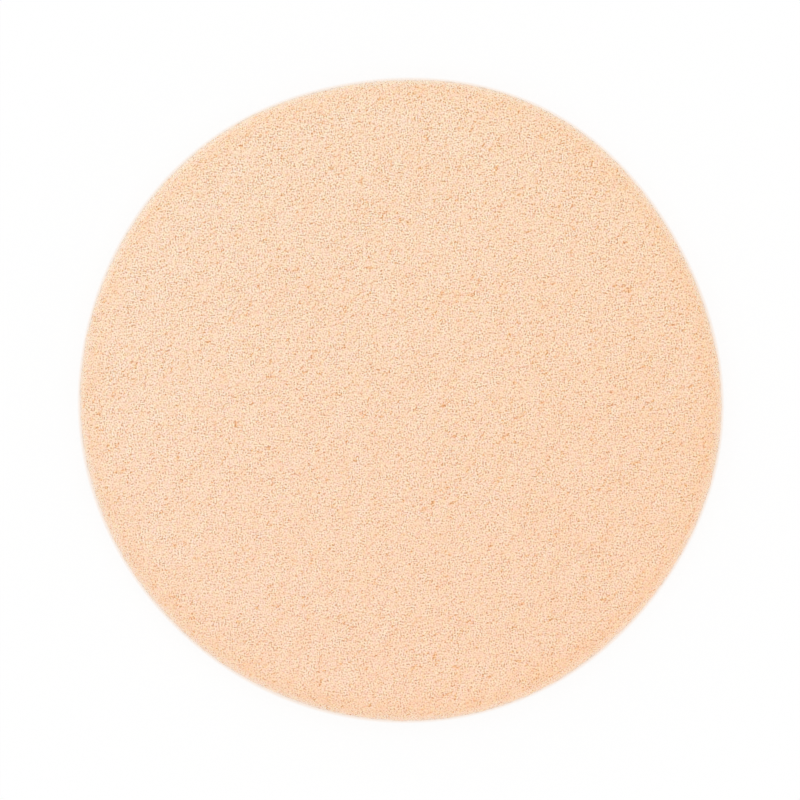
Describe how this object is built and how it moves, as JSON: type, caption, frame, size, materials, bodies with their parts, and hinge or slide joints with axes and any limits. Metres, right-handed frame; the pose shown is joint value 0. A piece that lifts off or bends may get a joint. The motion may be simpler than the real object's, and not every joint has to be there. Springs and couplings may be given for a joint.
{
  "type": "makeup puff",
  "caption": "Plain round makeup puff: a flat disc of fine-celled foam rubber with softly ground edges, for patting on powder and cream.",
  "frame": {"origin": "middle of the flat face that the puff rests on, at the middle of its bounding box", "axes": "+Z is up through the thickness, out of the face that the picture shows; +X is to the right and +Y up in the picture"},
  "size_m": [0.0702, 0.07, 0.008],
  "materials": {
    "foam": "matte"
  },
  "bodies": {
    "root": {"foam_disc": "foam"}
  },
  "joints": []
}
